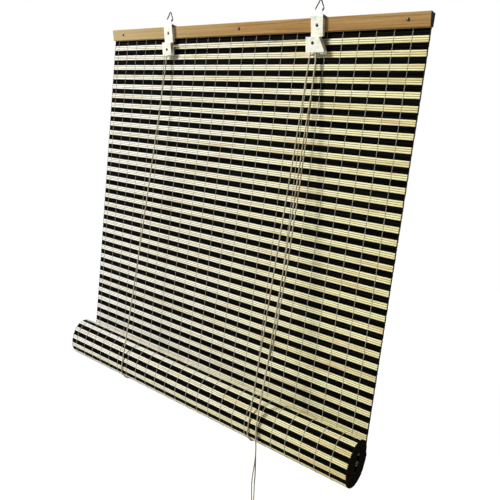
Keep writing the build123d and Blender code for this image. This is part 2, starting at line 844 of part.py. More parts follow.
cord_coil(pull_route_left, "cord_coil_left")
cord_coil(pull_route_right, "cord_coil_right")
end_knot(pull_route_left, "end_knot_left")
end_knot(pull_route_right, "end_knot_right")
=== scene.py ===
from math import cos, hypot, pi, radians, sin

import bpy
from mathutils import Matrix, Vector


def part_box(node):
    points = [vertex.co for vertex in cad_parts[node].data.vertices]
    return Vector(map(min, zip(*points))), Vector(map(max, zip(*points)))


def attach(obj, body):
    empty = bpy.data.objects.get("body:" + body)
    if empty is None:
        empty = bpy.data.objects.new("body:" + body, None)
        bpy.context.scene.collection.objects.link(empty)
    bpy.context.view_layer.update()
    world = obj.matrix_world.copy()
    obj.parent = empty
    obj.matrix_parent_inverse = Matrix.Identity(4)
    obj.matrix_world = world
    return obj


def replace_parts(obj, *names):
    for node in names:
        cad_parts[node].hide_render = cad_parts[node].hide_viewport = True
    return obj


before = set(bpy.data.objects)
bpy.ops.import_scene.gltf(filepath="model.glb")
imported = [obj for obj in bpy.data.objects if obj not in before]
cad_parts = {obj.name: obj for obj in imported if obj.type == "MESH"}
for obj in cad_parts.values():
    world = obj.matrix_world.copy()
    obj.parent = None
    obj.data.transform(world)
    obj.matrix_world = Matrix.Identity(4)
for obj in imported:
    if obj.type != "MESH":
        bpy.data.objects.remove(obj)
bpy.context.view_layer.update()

# A bamboo roll up blind: the finish of its CAD pieces, and its woven mat, threads and cords.
# The cords, knots, splints and threads that this script adds all ride on one body.
MM = 0.001
BODY = "blind"

# Sizes that the woven mat shares with the CAD model, in millimetres
SPLINT_PITCH = 2.8
SPLINT_THICKNESS = 2.0
SPLINT_EDGE = 0.85
SPLINTS_IN_HEAD = 6
SPLINTS_HANGING = 198
SPLINTS_PER_BAND = 3
MAT_WIDTH = 600.0
MAT_FRONT_Y = 10.0
MAT_BACK_Y = MAT_FRONT_Y + SPLINT_THICKNESS
BANDS_TOP_Z = -36.5
ROLL_START_Z = BANDS_TOP_Z - SPLINTS_HANGING * SPLINT_PITCH
THREAD_COUNT = 24
THREAD_SPACING = 24.6
FIRST_THREAD_X = 11.3 - MAT_WIDTH / 2

# Warp threads, in millimetres. One bends at a share of the pitch before and after each splint's
# middle, and they show on as many splints of the roll as its outer turn has.
THREAD_WIDTH = 0.9
THREAD_THICKNESS = 0.4
THREAD_SWING = 1.12
THREAD_BEND = 0.28
THREADED_SPLINTS = 80

# The roll: an oval winding round a core, which leans back at its top
WOUND_PITCH = 2.53
WOUND_SPLINT_WIDTH = 2.5
ROLL_SPREAD = 2.5
WHOLE_TURNS = 8
LAYER_PITCH = 2.4
CORE_HALF_DEPTH = 4.0
CORE_HALF_HEIGHT = 12.25
ROLL_TILT = radians(11)
TURN_STEPS = 24
ROLL_LINE_STEPS = 1200

# Cords. A coil stops before the bottom of its last turn. From there the cord runs in to its end
# knot, through places given by degrees from the coil's top and distance from its middle.
CORD_DIAMETER = 1.8
BRAID_SLANT = radians(35)
COIL_MEAN_RADIUS = 14.0
COIL_LAYERS = 4
COIL_TURNS_ACROSS = 5
COIL_POINTS = 16
COIL_POINTS_SPARED = COIL_POINTS // 2 + 3
END_KNOT_RADIUS = 8.35
END_KNOT_SHIFT = -2.5
END_KNOT_APPROACH = ((136, 10.7), (159, 9.5), (180, END_KNOT_RADIUS))
TIE_DIAMETER = 1.2
TIE_TURNS = 3

# Knots: the size of a knot and its breadth are shares of its cord's diameter
KNOT_CORD_DIAMETER = 1.5
KNOT_POINTS = 24
KNOT_SIZE = 0.35
KNOT_BREADTH = 1.6 * KNOT_SIZE

# Camera: its place in millimetres and the axes that it is turned to
CAMERA_PLACE = (600.69, -681.27, -206.54)
CAMERA_RIGHT = (0.773231, 0.624299, 0.111192)
CAMERA_UP = (-0.191100, 0.062217, 0.979597)
CAMERA_BACK = (0.604643, -0.778704, 0.167412)
CAMERA_LENS = 41.484
CAMERA_SENSOR = 36.0
CAMERA_NEAREST = 0.01

# Stage, in metres: the blind hangs two metres above the floor, which turns white further out
FLOOR_Z = -2.0
FLOOR_HALF_SIZE = 9.0
FLOOR_PALE_FROM = 3.5
FLOOR_WHITE_FROM = 6.0
LAMPS_AIM = (0, 0, -0.3)


def linear(hex_colour):
    """A linear RGBA colour from an sRGB hex string."""
    channels = [int(hex_colour[place : place + 2], 16) / 255 for place in (0, 2, 4)]
    curved = [c / 12.92 if c <= 0.04045 else ((c + 0.055) / 1.055) ** 2.4 for c in channels]
    return (*curved, 1.0)


def repeats(size):
    """How often a pattern repeats in a metre, from its size in millimetres."""
    return 1000 / size


def add_node(tree, kind, inputs=None, stops=None, **settings):
    """Add a node with its settings, set or link its inputs, and fill a ramp with its stops."""
    node = tree.nodes.new(kind)
    for name, value in settings.items():
        setattr(node, name, value)
    for name, value in (inputs or {}).items():
        if isinstance(value, bpy.types.NodeSocket):
            tree.links.new(value, node.inputs[name])
        else:
            node.inputs[name].default_value = value
    for number, (place, colour) in enumerate(stops or []):
        elements = node.color_ramp.elements
        element = elements[number] if number < 2 else elements.new(place)
        element.position = place
        element.color = linear(colour)
    return node


def new_material(name, roughness, **sockets):
    """A node material: its tree, its shader and the coordinates that its patterns follow."""
    material = bpy.data.materials.new(name)
    material.use_nodes = True
    tree = material.node_tree
    tree.nodes.clear()
    shader = add_node(tree, "ShaderNodeBsdfPrincipled", {"Roughness": roughness})
    for socket, value in sockets.items():
        shader.inputs[socket.replace("_", " ")].default_value = value
    add_node(tree, "ShaderNodeOutputMaterial", {"Surface": shader.outputs["BSDF"]})
    place = add_node(tree, "ShaderNodeTexCoord")
    return material, tree, shader, place


def streaks(tree, place, length, width, **inputs):
    """Noise in streaks along X, from their length and width in millimetres."""
    drawn_out = add_node(
        tree,
        "ShaderNodeMapping",
        {
            "Vector": place.outputs["Object"],
            "Scale": (repeats(length), repeats(width), repeats(width)),
        },
    )
    inputs |= {"Vector": drawn_out.outputs["Vector"], "Scale": 1.0}
    return add_node(tree, "ShaderNodeTexNoise", inputs)


# Materials
def split_bamboo():
    """Split bamboo: dull cream with long fibres, or stained flat black; its cut ends are near
    black: darker end grain, with painted shade.
    """
    material, tree, shader, place = new_material("split bamboo", 0.6, Specular_IOR_Level=0.008)
    stain = add_node(tree, "ShaderNodeAttribute", attribute_name="stain")
    tone = add_node(tree, "ShaderNodeAttribute", attribute_name="tone")
    # fibres about 0.36 mm across and 60 mm long
    fibre = streaks(tree, place, 62.5, 0.3571, Detail=3.0)
    # cloudy patches 40 mm long and about one splint wide
    patches = streaks(tree, place, 40, 2.778)
    both = add_node(
        tree,
        "ShaderNodeMath",
        {0: fibre.outputs["Fac"], 1: patches.outputs["Fac"]},
        operation="ADD",
    )
    shade = add_node(
        tree,
        "ShaderNodeMath",
        {0: both.outputs[0], 1: 0.5, 2: tone.outputs["Fac"]},
        operation="MULTIPLY_ADD",
    )
    natural = add_node(
        tree,
        "ShaderNodeValToRGB",
        {"Fac": shade.outputs[0]},
        stops=[(0.36, "D4C69F"), (0.5, "F0EAD8"), (0.62, "F8F6F0"), (0.85, "FFFEF9")],
    )
    # each joint between two splints is a dark line about 0.7 mm wide: dirt and painted shade in
    # the groove
    joint = add_node(tree, "ShaderNodeAttribute", attribute_name="joint")
    joint_dirt_and_shade_share = add_node(
        tree,
        "ShaderNodeMapRange",
        {"Value": joint.outputs["Fac"], "From Min": 0.62, "From Max": 0.92, "To Max": 0.95},
    )
    with_joint_dirt_and_shade = add_node(
        tree,
        "ShaderNodeMix",
        {0: joint_dirt_and_shade_share.outputs["Result"], 6: natural.outputs["Color"], 7: linear("5C5230")},
        data_type="RGBA",
    )
    # the cream turns yellower from the left end of the mat to the right end
    spread = add_node(tree, "ShaderNodeSeparateXYZ", {"Vector": place.outputs["Object"]})
    across = add_node(
        tree,
        "ShaderNodeMapRange",
        {
            "Value": spread.outputs["X"],
            "From Min": -MAT_WIDTH / 2 * MM,
            "From Max": MAT_WIDTH / 2 * MM,
        },
    )
    left_to_right_tint = add_node(
        tree,
        "ShaderNodeValToRGB",
        {"Fac": across.outputs["Result"]},
        stops=[(0.0, "FAFAF6"), (0.5, "FDFBE8"), (0.8, "FFFCD2"), (1.0, "FFFAC4")],
    )
    tinted = add_node(
        tree,
        "ShaderNodeMix",
        {0: 1.0, 6: with_joint_dirt_and_shade.outputs[2], 7: left_to_right_tint.outputs["Color"]},
        data_type="RGBA",
        blend_type="MULTIPLY",
    )
    # tan streaks about 83 mm long and 4 mm wide, more of them towards the right end
    tan_streaks = streaks(tree, place, 83.33, 3.846)
    more_to_right = add_node(
        tree,
        "ShaderNodeMapRange",
        {"Value": across.outputs["Result"], "To Min": 0.8, "To Max": 1.0},
    )
    streak_depth = add_node(
        tree,
        "ShaderNodeMath",
        {0: tan_streaks.outputs["Fac"], 1: more_to_right.outputs["Result"]},
        operation="MULTIPLY",
    )
    streak_share = add_node(
        tree,
        "ShaderNodeMapRange",
        {"Value": streak_depth.outputs[0], "From Min": 0.54, "From Max": 0.68, "To Max": 0.75},
    )
    streaked = add_node(
        tree,
        "ShaderNodeMix",
        {0: streak_share.outputs["Result"], 6: tinted.outputs[2], 7: linear("D8B987")},
        data_type="RGBA",
    )
    black = add_node(
        tree,
        "ShaderNodeValToRGB",
        {"Fac": shade.outputs[0]},
        stops=[(0.4, "030303"), (0.62, "060606"), (0.85, "111110")],
    )
    stained = add_node(
        tree,
        "ShaderNodeMix",
        {0: stain.outputs["Fac"], 6: streaked.outputs[2], 7: black.outputs["Color"]},
        data_type="RGBA",
    )
    # the last millimetre at the cut ends is near black: darker end grain, with painted shade;
    # reach is 1 at an end and 0 in the middle
    reach = add_node(tree, "ShaderNodeAttribute", attribute_name="reach")
    end_grain_and_shade_share = add_node(
        tree,
        "ShaderNodeMapRange",
        {"Value": reach.outputs["Fac"], "From Min": 0.995, "From Max": 0.998},
    )
    finished = add_node(
        tree,
        "ShaderNodeMix",
        {0: end_grain_and_shade_share.outputs["Result"], 6: stained.outputs[2], 7: linear("1A160F")},
        data_type="RGBA",
    )
    tree.links.new(finished.outputs[2], shader.inputs["Base Color"])
    bump = add_node(
        tree,
        "ShaderNodeBump",
        {"Height": fibre.outputs["Fac"], "Strength": 0.3, "Distance": 0.06 * MM},
    )
    tree.links.new(bump.outputs["Normal"], shader.inputs["Normal"])
    return material


def cotton_thread():
    """Twisted cotton warp: dull and pale grey, so that it shows on the black bands."""
    material, tree, shader, place = new_material("cotton warp thread", 0.9, Specular_IOR_Level=0.1)
    # fluff about 0.4 mm across
    fluff = add_node(
        tree, "ShaderNodeTexNoise", {"Vector": place.outputs["Object"], "Scale": repeats(0.4)}
    )
    colour = add_node(
        tree,
        "ShaderNodeValToRGB",
        {"Fac": fluff.outputs["Fac"]},
        stops=[(0.3, "9B988C"), (0.7, "C4C1B4")],
    )
    tree.links.new(colour.outputs["Color"], shader.inputs["Base Color"])
    return material


def planed_pine(name, dark, middle, light):
    """Planed softwood: faint grain lines along the length, a satin face and cut ends near black:
    darker end grain, with painted shade.
    """
    material, tree, shader, place = new_material(name, 0.45, Specular_IOR_Level=0.03)
    # growth lines about 1.6 mm apart, drawn out to about 154 mm along the length
    lines = streaks(tree, place, 153.85, 1.613, Detail=5.0, Distortion=0.4)
    # pores 0.2 mm across and about 8 mm long
    pores = streaks(tree, place, 8.333, 0.2)
    colour = add_node(
        tree,
        "ShaderNodeValToRGB",
        {"Fac": lines.outputs["Fac"]},
        stops=[(0.3, dark), (0.52, middle), (0.75, light)],
    )
    fine = add_node(
        tree,
        "ShaderNodeValToRGB",
        {"Fac": pores.outputs["Fac"]},
        stops=[(0.3, "E2DDD6"), (0.6, "FFFFFF")],
    )
    joined = add_node(
        tree,
        "ShaderNodeMix",
        {0: 1.0, 6: colour.outputs["Color"], 7: fine.outputs["Color"]},
        data_type="RGBA",
        blend_type="MULTIPLY",
    )
    # the wood is paler from the left end to the middle
    spread = add_node(tree, "ShaderNodeSeparateXYZ", {"Vector": place.outputs["Object"]})
    paleness = add_node(
        tree,
        "ShaderNodeMapRange",
        {
            "Value": spread.outputs["X"],
            "From Min": -MAT_WIDTH / 2 * MM,
            "From Max": 20 * MM,
            "To Min": 0.65,
            "To Max": 0.0,
        },
    )
    paler_at_left = add_node(
        tree,
        "ShaderNodeMix",
        {0: paleness.outputs["Result"], 6: joined.outputs[2], 7: linear("C3B58A")},
        data_type="RGBA",
    )
    # the cut ends face along X; they are near black: darker end grain, with painted shade
    facing = add_node(tree, "ShaderNodeSeparateXYZ", {"Vector": place.outputs["Normal"]})
    sideways = add_node(tree, "ShaderNodeMath", {0: facing.outputs["X"]}, operation="ABSOLUTE")
    cut_end_grain_and_shade = add_node(
        tree, "ShaderNodeMath", {0: sideways.outputs[0], 1: 0.8}, operation="GREATER_THAN"
    )
    finished = add_node(
        tree,
        "ShaderNodeMix",
        {0: cut_end_grain_and_shade.outputs[0], 6: paler_at_left.outputs[2], 7: linear("1C1408")},
        data_type="RGBA",
    )
    tree.links.new(finished.outputs[2], shader.inputs["Base Color"])
    bump = add_node(
        tree,
        "ShaderNodeBump",
        {"Height": lines.outputs["Fac"], "Strength": 0.2, "Distance": 0.2 * MM},
    )
    tree.links.new(bump.outputs["Normal"], shader.inputs["Normal"])
    return material


def galvanised_sheet():
    """Zinc coated sheet steel: nearly white, with a faint grey green bloom and a dull sheen."""
    material, tree, shader, place = new_material(
        "zinc coated sheet steel", 0.5, Metallic=0.03, Specular_IOR_Level=0.2
    )
    # zinc flakes about 2.1 mm across
    flakes = add_node(
        tree,
        "ShaderNodeTexVoronoi",
        {"Vector": place.outputs["Object"], "Scale": repeats(2.0833)},
    )
    flake_grey = add_node(tree, "ShaderNodeRGBToBW", {"Color": flakes.outputs["Color"]})
    # bloom about 6 mm across
    bloom = add_node(
        tree,
        "ShaderNodeTexNoise",
        {"Vector": place.outputs["Object"], "Scale": repeats(5.882), "Detail": 4.0},
    )
    mottle = add_node(
        tree,
        "ShaderNodeMix",
        {0: 0.85, 2: flake_grey.outputs["Val"], 3: bloom.outputs["Fac"]},
    )
    colour = add_node(
        tree,
        "ShaderNodeValToRGB",
        {"Fac": mottle.outputs[0]},
        stops=[(0.3, "D6D8C8"), (0.45, "F2F2E2"), (0.62, "FBF9EA")],
    )
    tree.links.new(colour.outputs["Color"], shader.inputs["Base Color"])
    rough = add_node(
        tree, "ShaderNodeMapRange", {"Value": mottle.outputs[0], "To Min": 0.4, "To Max": 0.6}
    )
    tree.links.new(rough.outputs["Result"], shader.inputs["Roughness"])
    bump = add_node(
        tree,
        "ShaderNodeBump",
        {"Height": mottle.outputs[0], "Strength": 0.15, "Distance": 0.1 * MM},
    )
    tree.links.new(bump.outputs["Normal"], shader.inputs["Normal"])
    return material


def worked_metal(name, dark, light, roughness, mark_size):
    """Drawn or turned metal: marks of some size in millimetres, from the tool and from handling,
    change its shine."""
    material, tree, shader, place = new_material(name, roughness, Metallic=1.0)
    marks = add_node(
        tree,
        "ShaderNodeTexNoise",
        {"Vector": place.outputs["Object"], "Scale": repeats(mark_size), "Detail": 4.0},
    )
    colour = add_node(
        tree,
        "ShaderNodeValToRGB",
        {"Fac": marks.outputs["Fac"]},
        stops=[(0.3, dark), (0.6, light)],
    )
    tree.links.new(colour.outputs["Color"], shader.inputs["Base Color"])
    rough = add_node(
        tree,
        "ShaderNodeMapRange",
        {
            "Value": marks.outputs["Fac"],
            "To Min": roughness * 0.8,
            "To Max": roughness * 1.3,
        },
    )
    tree.links.new(rough.outputs["Result"], shader.inputs["Roughness"])
    return material


def braided_cord():
    """Braided cotton cord: soft off-white, with a fine slanting braid and a little dirt."""
    material, tree, shader, place = new_material(
        "braided cotton cord", 0.85, Specular_IOR_Level=0.1
    )
    # strands of the braid cross about every 1.1 mm; at a scale of 1 the bands are pi / 10 apart
    slant = add_node(
        tree,
        "ShaderNodeMapping",
        {"Vector": place.outputs["Object"], "Rotation": (BRAID_SLANT, BRAID_SLANT, 0)},
    )
    braid = add_node(
        tree,
        "ShaderNodeTexWave",
        {
            "Vector": slant.outputs["Vector"],
            "Scale": pi / 10 * repeats(1.0833),
            "Distortion": 1.0,
            "Detail": 1.0,
        },
        bands_direction="Z",
    )
    # dirt in stretches of about 17 mm
    dirt = add_node(
        tree,
        "ShaderNodeTexNoise",
        {"Vector": place.outputs["Object"], "Scale": repeats(16.667), "Detail": 3.0},
    )
    both = add_node(
        tree,
        "ShaderNodeMath",
        {0: braid.outputs["Fac"], 1: 0.3, 2: dirt.outputs["Fac"]},
        operation="MULTIPLY_ADD",
    )
    colour = add_node(
        tree,
        "ShaderNodeValToRGB",
        {"Fac": both.outputs[0]},
        stops=[(0.4, "877B60"), (0.65, "C0B698"), (0.9, "DCD4BB")],
    )
    tree.links.new(colour.outputs["Color"], shader.inputs["Base Color"])
    bump = add_node(
        tree,
        "ShaderNodeBump",
        {"Height": braid.outputs["Fac"], "Strength": 0.6, "Distance": 0.2 * MM},
    )
    tree.links.new(bump.outputs["Normal"], shader.inputs["Normal"])
    return material


splint_finish = split_bamboo()
thread_finish = cotton_thread()
# thin varnish makes the headrail a warm brown, and the bare batten is greyer
rail_finish = planed_pine("varnished pine headrail", "956E40", "B28B55", "C7A775")
batten_finish = planed_pine("bare pine batten", "8E7048", "B0905F", "C6A878")
sheet_finish = galvanised_sheet()
# blackened steel has a soft shine, and the polished nails and screws a small bright one
steel_finish = worked_metal("blackened steel", "1C1C1B", "3C3C3A", roughness=0.35, mark_size=0.8)
nail_finish = worked_metal("polished steel", "332C29", "54493F", roughness=0.12, mark_size=0.8)
# drawn wire is dark grey, turned brass a warm yellow, and knurls dull the roller
wire_finish = worked_metal("drawn steel wire", "1D1D1E", "444446", roughness=0.35, mark_size=0.6)
brass_finish = worked_metal("turned brass", "6E5A30", "B8974F", roughness=0.32, mark_size=0.5)
roller_finish = worked_metal("knurled steel", "55555A", "8F8F8B", roughness=0.4, mark_size=0.4)
cord_finish = braided_cord()

NODE_FINISHES = {
    "headrail": rail_finish,
    "back_slat": rail_finish,
    "bottom_batten": batten_finish,
    "bracket_left": sheet_finish,
    "lock_bracket": sheet_finish,
    "rail_nails": nail_finish,
    "bracket_screws": nail_finish,
    "pulley_pin_left": steel_finish,
    "pulley_pin_right": steel_finish,
    "cord_staples": steel_finish,
    "hanging_ring_left": wire_finish,
    "hanging_ring_right": wire_finish,
    "pulley_left": brass_finish,
    "pulley_right": brass_finish,
    "lock_roller": roller_finish,
}
for node_name, finish in NODE_FINISHES.items():
    node_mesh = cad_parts[node_name].data
    node_mesh.materials.clear()
    node_mesh.materials.append(finish)


def link(thing):
    """Put a new object into the scene."""
    bpy.context.scene.collection.objects.link(thing)
    return thing


# Camera
camera = link(bpy.data.objects.new("camera", bpy.data.cameras.new("camera")))
camera.data.lens = CAMERA_LENS
camera.data.sensor_width = CAMERA_SENSOR
camera.data.clip_start = CAMERA_NEAREST
turned = Matrix((CAMERA_RIGHT, CAMERA_UP, CAMERA_BACK)).transposed().to_4x4()
camera.matrix_world = Matrix.Translation(Vector(CAMERA_PLACE) * MM) @ turned
bpy.context.scene.camera = camera


# Cords: the routes of the CAD model's cords
LIFT_ROUTE_LEFT = [
    (-153.75, 15.95, -28.4),
    (-153.75, 15.8, -39.0),
    (-153.4, 13.0, -586.0),
    (-153.35, 12.91, -608.2),
    (-152.95, -1.09, -627.5),
    (-152.55, -16.79, -632.6),
    (-151.95, -31.79, -627.8),
    (-151.55, -42.99, -612.3),
    (-151.35, -41.3, -592.0),
    (-151.15, -38.69, -562.0),
    (-149.85, -32.0, -483.22),
    (-150.95, -0.5, -112.86),
    (-152.6, 3.2, -69.0),
    (-153.75, 4.15, -58.06),
    (-153.75, 2.25, -50.55),
    (-142.9, 2.16, -50.45),
    (132.5, 0.41, -47.91),
    (143.35, 0.34, -47.81),
    (143.35, 2.53, -57.41),
]
LIFT_ROUTE_RIGHT = [
    (134.85, 15.95, -28.4),
    (134.85, 15.8, -39.0),
    (135.2, 13.0, -586.0),
    (135.35, 12.91, -608.2),
    (135.85, -1.09, -627.5),
    (136.35, -16.79, -632.6),
    (136.95, -31.79, -627.8),
    (137.55, -42.99, -612.3),
    (137.6, -41.3, -592.0),
    (137.65, -38.79, -563.0),
    (136.45, -19.9, -339.78),
    (135.95, -4.6, -161.05),
    (134.45, 2.2, -79.8),
    (134.85, 4.23, -56.51),
    (134.85, 2.15, -47.39),
    (143.35, 2.15, -47.39),
    (143.35, 4.34, -56.99),
]
PULL_ROUTE_LEFT = [
    (143.35, 2.53, -57.41),
    (143.35, 3.65, -62.28),
    (144.15, 3.5, -68.6),
    (145.15, 2.6, -75.88),
    (146.45, 1.2, -92.13),
    (148.15, -1.2, -117.9),
    (148.15, -4.8, -157.12),
    (148.95, -8.7, -199.15),
    (150.15, -12.3, -238.93),
    (151.05, -15.4, -274.23),
    (150.95, -18.4, -306.16),
    (153.05, -22.3, -348.74),
    (153.55, -25.6, -385.16),
    (153.95, -31.1, -445.12),
    (154.95, -36.49, -505.0),
    (153.55, -41.29, -557.0),
    (153.45, -44.39, -594.0),
    (154.95, -44.59, -608.0),
    (158.15, -44.49, -627.0),
    (159.15, -44.59, -642.0),
    (158.15, -44.59, -662.0),
    (157.95, -44.99, -678.0),
    (161.65, -47.39, -694.0),
    (164.65, -48.49, -706.0),
    (164.85, -48.49, -716.0),
]
PULL_ROUTE_RIGHT = [
    (143.35, 4.34, -56.99),
    (143.35, 5.46, -61.87),
    (143.55, 5.2, -68.04),
    (143.95, 4.4, -75.88),
    (144.95, 2.9, -92.13),
    (146.55, 0.7, -117.9),
    (150.45, -2.9, -157.12),
    (152.15, -6.9, -199.15),
    (153.65, -10.4, -238.93),
    (154.95, -13.6, -273.1),
    (155.15, -16.5, -305.04),
    (157.45, -20.5, -347.06),
    (157.15, -26.2, -410.94),
    (157.55, -29.2, -443.99),
    (156.45, -31.9, -475.93),
    (153.15, -34.69, -505.0),
    (151.85, -39.29, -557.0),
    (152.15, -42.49, -594.0),
    (154.05, -42.69, -612.0),
    (156.55, -42.59, -631.0),
    (158.95, -42.69, -648.0),
    (161.05, -42.59, -668.0),
    (160.65, -41.59, -683.0),
    (160.6, -39.69, -696.0),
    (161.0, -38.99, -707.0),
    (161.15, -38.99, -716.0),
]


def coil_turns(route):
    """Control points of the spare cord, wound in layers below the end of its route."""
    x, y, z = route[-1]
    outer_radius = COIL_MEAN_RADIUS + (COIL_LAYERS - 1) / 2 * CORD_DIAMETER
    middle_z = z - outer_radius - CORD_DIAMETER / 2
    # a spline runs inside its control points, so they stand a little outside the turns
    outside = 2 / (1 + cos(pi / COIL_POINTS))
    points = []
    for step in range(COIL_LAYERS * COIL_TURNS_ACROSS * COIL_POINTS - COIL_POINTS_SPARED):
        turn = step / COIL_POINTS
        layer = int(turn // COIL_TURNS_ACROSS)
        across = turn - layer * COIL_TURNS_ACROSS
        shift = across - COIL_TURNS_ACROSS / 2
        if layer % 2:
            shift = -shift
        shift *= (COIL_TURNS_ACROSS - 1) / COIL_TURNS_ACROSS
        radius = (outer_radius - layer * CORD_DIAMETER) * outside
        angle = 2 * pi * turn
        points.append(
            (x + radius * sin(angle), y + shift * CORD_DIAMETER, middle_z + radius * cos(angle))
        )
    for degrees, radius in END_KNOT_APPROACH:
        angle = radians(degrees)
        points.append(
            (x + radius * sin(angle), y + END_KNOT_SHIFT, middle_z + radius * cos(angle))
        )
    return points


def tie_turns(left, right):
    """Control points of the tie: turns round both coils at their right side, from its knot and
    back to it."""
    half_width = COIL_TURNS_ACROSS / 2 * CORD_DIAMETER
    half_depth = COIL_LAYERS / 2 * CORD_DIAMETER + TIE_DIAMETER / 2
    inner, outer = COIL_MEAN_RADIUS - half_depth, COIL_MEAN_RADIUS + half_depth
    past = half_width + TIE_DIAMETER / 2
    corners = [
        Vector((right[0] + outer, right[1] - half_width)),
        Vector((left[0] + outer, left[1] - past)),
        Vector((left[0] + inner, left[1] - past)),
        Vector((left[0] + inner, left[1] + half_width)),
        Vector((right[0] + inner, right[1] + past)),
        Vector((right[0] + outer, right[1] + past)),
    ]
    middle_z = left[2] - COIL_MEAN_RADIUS - COIL_LAYERS / 2 * CORD_DIAMETER
    knot = (right[0] + outer + TIE_DIAMETER, right[1], middle_z)
    points = [knot]
    count = len(corners)
    for step in range(TIE_TURNS * count):
        here = corners[step % count]
        before, after = corners[(step - 1) % count], corners[(step + 1) % count]
        height = middle_z + TIE_DIAMETER * ((step + 0.5) / count - TIE_TURNS / 2)
        for other in (before, after):
            points.append((*(here + (other - here).normalized()), height))
    return points + [knot]


def cord_curve(name, points, thickness=CORD_DIAMETER, closed=False):
    """A round cord along control points given in millimetres."""
    curve = bpy.data.curves.new(name, "CURVE")
    curve.dimensions = "3D"
    curve.bevel_depth = thickness / 2 * MM
    curve.bevel_resolution = 2
    curve.resolution_u = 4
    curve.use_fill_caps = not closed
    spline = curve.splines.new("NURBS")
    spline.points.add(len(points) - 1)
    for point, place in zip(spline.points, points):
        point.co = (*(Vector(place) * MM), 1.0)
    spline.order_u = 3
    spline.use_endpoint_u = not closed
    spline.use_cyclic_u = closed
    curve.materials.append(cord_finish)
    piece = link(bpy.data.objects.new(name, curve))
    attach(piece, BODY)
    return piece


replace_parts(cord_curve("lift_cord_left_line", LIFT_ROUTE_LEFT), "lift_cord_left")
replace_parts(cord_curve("lift_cord_right_line", LIFT_ROUTE_RIGHT), "lift_cord_right")


def tied_knot(name, middle, thickness=KNOT_CORD_DIAMETER):
    """A knot round a point: the cord passes round it twice and crosses itself three times."""
    points = []
    for step in range(KNOT_POINTS):
        angle = 2 * pi * step / KNOT_POINTS
        out = (2 + cos(3 * angle)) * KNOT_SIZE * thickness
        across = sin(3 * angle) * KNOT_BREADTH * thickness
        turned = Vector((out * cos(2 * angle), across, out * sin(2 * angle)))
        points.append(Vector(middle) + turned)
    return cord_curve(name, points, thickness, closed=True)


def knot_for(node):
    """A tied knot in place of the ball that the CAD model has."""
    low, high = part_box(node)
    knot = tied_knot(f"{node}_turns", (Vector(low) + Vector(high)) / 2 / MM)
    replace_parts(knot, node)
    return knot


knot_for("anchor_knot_left")
knot_for("anchor_knot_right")
tie_line = tie_turns(PULL_ROUTE_LEFT[-1], PULL_ROUTE_RIGHT[-1])
coil_tie = cord_curve("coil_tie", tie_line, TIE_DIAMETER)
tie_knot = tied_knot("coil_tie_knot", tie_line[0], TIE_DIAMETER)
for side, route in (("left", PULL_ROUTE_LEFT), ("right", PULL_ROUTE_RIGHT)):
    end_knot = knot_for(f"end_knot_{side}")
    pull_cord = cord_curve(f"pull_cord_{side}_line", route + coil_turns(route)[1:])
    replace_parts(pull_cord, f"pull_cord_{side}", f"cord_coil_{side}")


# The mat's path: straight down behind the headrail, then wound inwards into the roll
FLAT_SIDE = (pi + ROLL_TILT) / (2 * pi)
ROLL_TURNS = WHOLE_TURNS + FLAT_SIDE + 0.5 / TURN_STEPS


def winding(turn, under):
    """(y, z) of the wound wall after some turns inwards, at a depth under its outer face."""
    facing = ROLL_TILT - 2 * pi * turn
    reach = hypot(CORE_HALF_DEPTH * cos(facing), CORE_HALF_HEIGHT * sin(facing))
    layers = LAYER_PITCH * (ROLL_TURNS - turn) + SPLINT_THICKNESS - under
    depth = (CORE_HALF_DEPTH**2 / reach + layers) * cos(facing)
    height = (CORE_HALF_HEIGHT**2 / reach + layers) * sin(facing)
    return (
        depth * cos(ROLL_TILT) + height * sin(ROLL_TILT),
        height * cos(ROLL_TILT) - depth * sin(ROLL_TILT),
    )


def path_curve(name, points):
    """A straight-run curve in the plane across the mat, from (y, z) points in millimetres."""
    curve = bpy.data.curves.new(name, "CURVE")
    curve.dimensions = "3D"
    spline = curve.splines.new("POLY")
    spline.points.add(len(points) - 1)
    for point, (y, z) in zip(spline.points, points):
        point.co = (0, y * MM, z * MM, 1)
    return link(bpy.data.objects.new(name, curve))


def walk(points, spacing, first):
    """Places along a line of points, a spacing apart, the first one some way from its start."""
    places = []
    wanted = first
    gone = 0.0
    for (y0, z0), (y1, z1) in zip(points, points[1:]):
        run = hypot(y1 - y0, z1 - z0)
        while wanted <= gone + run:
            share = (wanted - gone) / run
            places.append((y0 + (y1 - y0) * share, z0 + (z1 - z0) * share))
            wanted += spacing
        gone += run
    return places


start_y, start_z = winding(0, 0)
roll_steps = [ROLL_TURNS * step / ROLL_LINE_STEPS for step in range(ROLL_LINE_STEPS + 1)]
roll_line = [
    (MAT_BACK_Y - start_y + y, ROLL_START_Z - start_z + z)
    for y, z in (winding(turn, SPLINT_THICKNESS / 2) for turn in roll_steps)
]
mat_middle_y = (MAT_FRONT_Y + MAT_BACK_Y) / 2
hanging_places = [
    (mat_middle_y, BANDS_TOP_Z + (SPLINTS_IN_HEAD - 0.5 - number) * SPLINT_PITCH)
    for number in range(SPLINTS_IN_HEAD + SPLINTS_HANGING)
]
roll_places = walk(roll_line, WOUND_PITCH, WOUND_PITCH / 2)


def new_tree(name, sizes, counts):
    """A geometry tree and its input node: it takes a path, sizes, counts and a finish."""
    tree = bpy.data.node_groups.new(name, "GeometryNodeTree")
    sockets = [("Geometry", "OUTPUT", "Geometry"), ("Path", "INPUT", "Geometry")]
    sockets += [(size, "INPUT", "Float") for size in sizes]
    sockets += [(count, "INPUT", "Int") for count in counts]
    sockets += [("Finish", "INPUT", "Material")]
    for socket, way, kind in sockets:
        tree.interface.new_socket(socket, in_out=way, socket_type=f"NodeSocket{kind}")
    return tree, add_node(tree, "NodeGroupInput")


